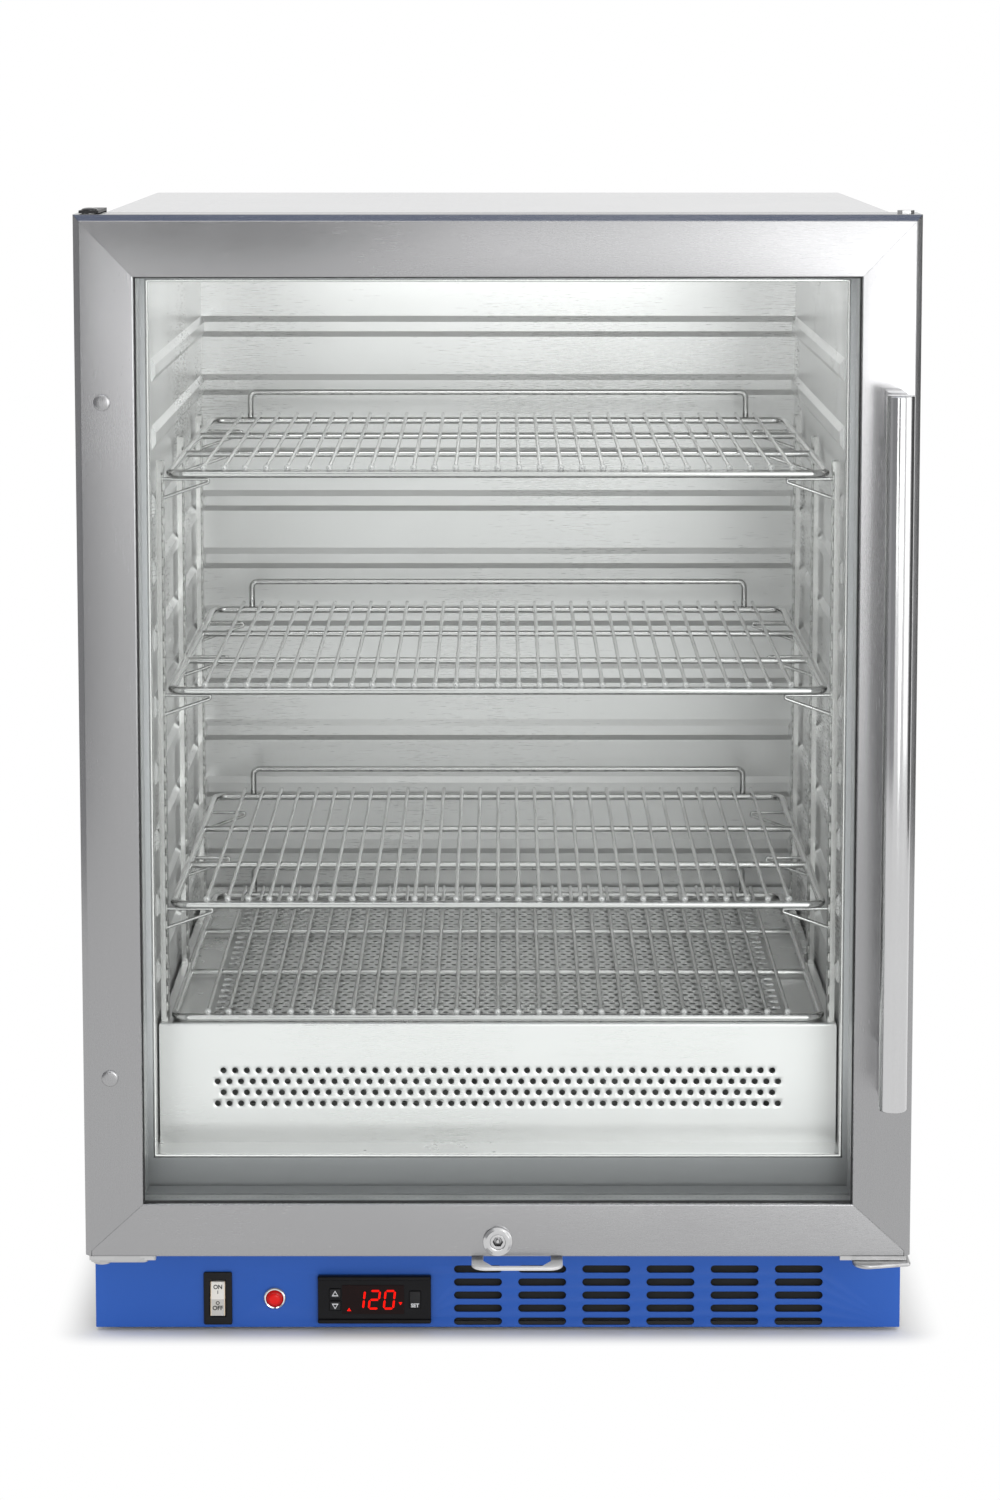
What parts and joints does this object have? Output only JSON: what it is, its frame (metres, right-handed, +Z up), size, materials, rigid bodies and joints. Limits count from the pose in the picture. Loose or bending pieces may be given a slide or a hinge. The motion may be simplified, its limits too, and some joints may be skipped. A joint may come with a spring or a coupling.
{
  "type": "blanket warming cabinet",
  "caption": "Undercounter steel warming cabinet with a hinged glass door, bar handle, wire shelves, fan heater and a controller in its kick panel.",
  "frame": {"origin": "on the floor under the middle of the object's bounding box, handle included", "axes": "+X to the right seen from the front, +Y from the door to the back, +Z up"},
  "size_m": [0.598, 0.653, 0.8326],
  "materials": {
    "satin_stainless": "satin, finely brushed",
    "brushed_liner": "brushed, half bright",
    "bright_wire": "polished",
    "lock_chrome": "polished",
    "hardware_zinc": "satin zinc",
    "blue_paint": "smooth blue powder coat",
    "door_glass": "clear, polished",
    "spacer_aluminium": "mill finish with a row of fine holes",
    "grey_insulation": "foamed board",
    "grey_trim": "matt",
    "gasket_rubber": "matt black",
    "black_plastic": "fine matt",
    "gloss_black": "gloss",
    "cream_plastic": "semi-gloss",
    "red_lens": "gloss, translucent",
    "smoked_window": "gloss",
    "element_steel": "dull, heat tinted",
    "fan_metal": "satin",
    "motor_enamel": "semi-matt",
    "terminal_plastic": "matt"
  },
  "bodies": {
    "cabinet": {"outer_wrap": "satin_stainless", "back_panel": "hardware_zinc", "insulation": "grey_insulation", "inner_liner": "brushed_liner", "front_breaker": "grey_trim", "base_tray": "hardware_zinc", "base_rear_panel": "hardware_zinc", "kick_panel": "blue_paint", "switch_bezel": "black_plastic", "lamp_bezel": "lock_chrome", "lamp_lens": "red_lens", "controller_case": "black_plastic", "controller_front": "black_plastic", "display_window": "smoked_window", "heater_cover": "brushed_liner", "heating_element": "element_steel", "element_straps": "hardware_zinc", "fan_shroud": "hardware_zinc", "fan_motor": "motor_enamel", "heat_sensors": "hardware_zinc", "power_inlet": "black_plastic", "terminal_block": "terminal_plastic", "shelf_pilasters": "brushed_liner", "shelf_clips": "bright_wire", "hinge_brackets_low": "hardware_zinc", "hinge_arm_top": "hardware_zinc", "hinge_pins": "hardware_zinc", "pin_cap": "gloss_black", "lock_strike": "hardware_zinc", "hinge_screws": "hardware_zinc"},
    "door": {"door_rail_bottom": "satin_stainless", "door_rail_top": "satin_stainless", "door_stile_left": "satin_stainless", "door_stile_right": "satin_stainless", "handle_hole_plugs": "lock_chrome", "glass_outer": "door_glass", "glass_inner": "door_glass", "glass_spacer": "spacer_aluminium", "glazing_bead": "grey_trim", "door_gasket": "gasket_rubber", "handle_bar": "satin_stainless", "handle_posts": "satin_stainless", "door_hinge_fittings": "hardware_zinc", "lock_barrel": "lock_chrome"},
    "lock": {"lock_plug": "lock_chrome", "lock_cam": "hardware_zinc"},
    "switch": {"rocker": "cream_plastic"},
    "up_key": {"key_up": "gloss_black"},
    "down_key": {"key_down": "gloss_black"},
    "setting_key": {"key_set": "gloss_black"},
    "fan": {"fan_impeller": "fan_metal"},
    "rack_bottom": {"bottom_rack": "bright_wire"},
    "rack_lower": {"shelf_lower": "bright_wire"},
    "rack_middle": {"shelf_middle": "bright_wire"},
    "rack_top": {"shelf_top": "bright_wire"},
    "leveller_front_left": {"foot_front_left": "black_plastic"},
    "leveller_front_right": {"foot_front_right": "black_plastic"},
    "leveller_back_left": {"foot_back_left": "black_plastic"},
    "leveller_back_right": {"foot_back_right": "black_plastic"}
  },
  "joints": [
    {"name": "door_hinge", "type": "hinge", "parent": "cabinet", "child": "door", "pos_m": [-0.288, -0.2565, 0.451], "axis": [0, 0, -1], "range_deg": [0, 110]},
    {"name": "lock_turn", "type": "hinge", "parent": "door", "child": "lock", "pos_m": [0, -0.2625, 0.086], "axis": [0, 1, 0], "range_deg": [0, 90]},
    {"name": "switch_rock", "type": "hinge", "parent": "cabinet", "child": "switch", "pos_m": [-0.207, -0.2195, 0.0255], "axis": [1, 0, 0], "range_deg": [0, 16]},
    {"name": "key_up_press", "type": "slide", "parent": "cabinet", "child": "up_key", "axis": [0, 1, 0], "range_m": [0, 0.0008], "stiffness_N_per_m": 200},
    {"name": "key_down_press", "type": "slide", "parent": "cabinet", "child": "down_key", "axis": [0, 1, 0], "range_m": [0, 0.0008], "stiffness_N_per_m": 200},
    {"name": "key_set_press", "type": "slide", "parent": "cabinet", "child": "setting_key", "axis": [0, 1, 0], "range_m": [0, 0.0008], "stiffness_N_per_m": 200},
    {"name": "fan_spin", "type": "hinge", "parent": "cabinet", "child": "fan", "pos_m": [0, 0.1275, 0.175], "axis": [0, -1, 0], "continuous": true},
    {"name": "rack_bottom_lift", "type": "slide", "parent": "cabinet", "child": "rack_bottom", "axis": [0, 0, 1], "range_m": [0, 0.02]},
    {"name": "rack_lower_lift", "type": "slide", "parent": "cabinet", "child": "rack_lower", "axis": [0, 0, 1], "range_m": [0, 0.02]},
    {"name": "rack_middle_lift", "type": "slide", "parent": "cabinet", "child": "rack_middle", "axis": [0, 0, 1], "range_m": [0, 0.02]},
    {"name": "rack_top_lift", "type": "slide", "parent": "cabinet", "child": "rack_top", "axis": [0, 0, 1], "range_m": [0, 0.02]},
    {"name": "leveller_front_left_screw_out", "type": "slide", "parent": "cabinet", "child": "leveller_front_left", "axis": [0, 0, -1], "range_m": [0, 0.015]},
    {"name": "leveller_front_right_screw_out", "type": "slide", "parent": "cabinet", "child": "leveller_front_right", "axis": [0, 0, -1], "range_m": [0, 0.015]},
    {"name": "leveller_back_left_screw_out", "type": "slide", "parent": "cabinet", "child": "leveller_back_left", "axis": [0, 0, -1], "range_m": [0, 0.015]},
    {"name": "leveller_back_right_screw_out", "type": "slide", "parent": "cabinet", "child": "leveller_back_right", "axis": [0, 0, -1], "range_m": [0, 0.015]}
  ]
}
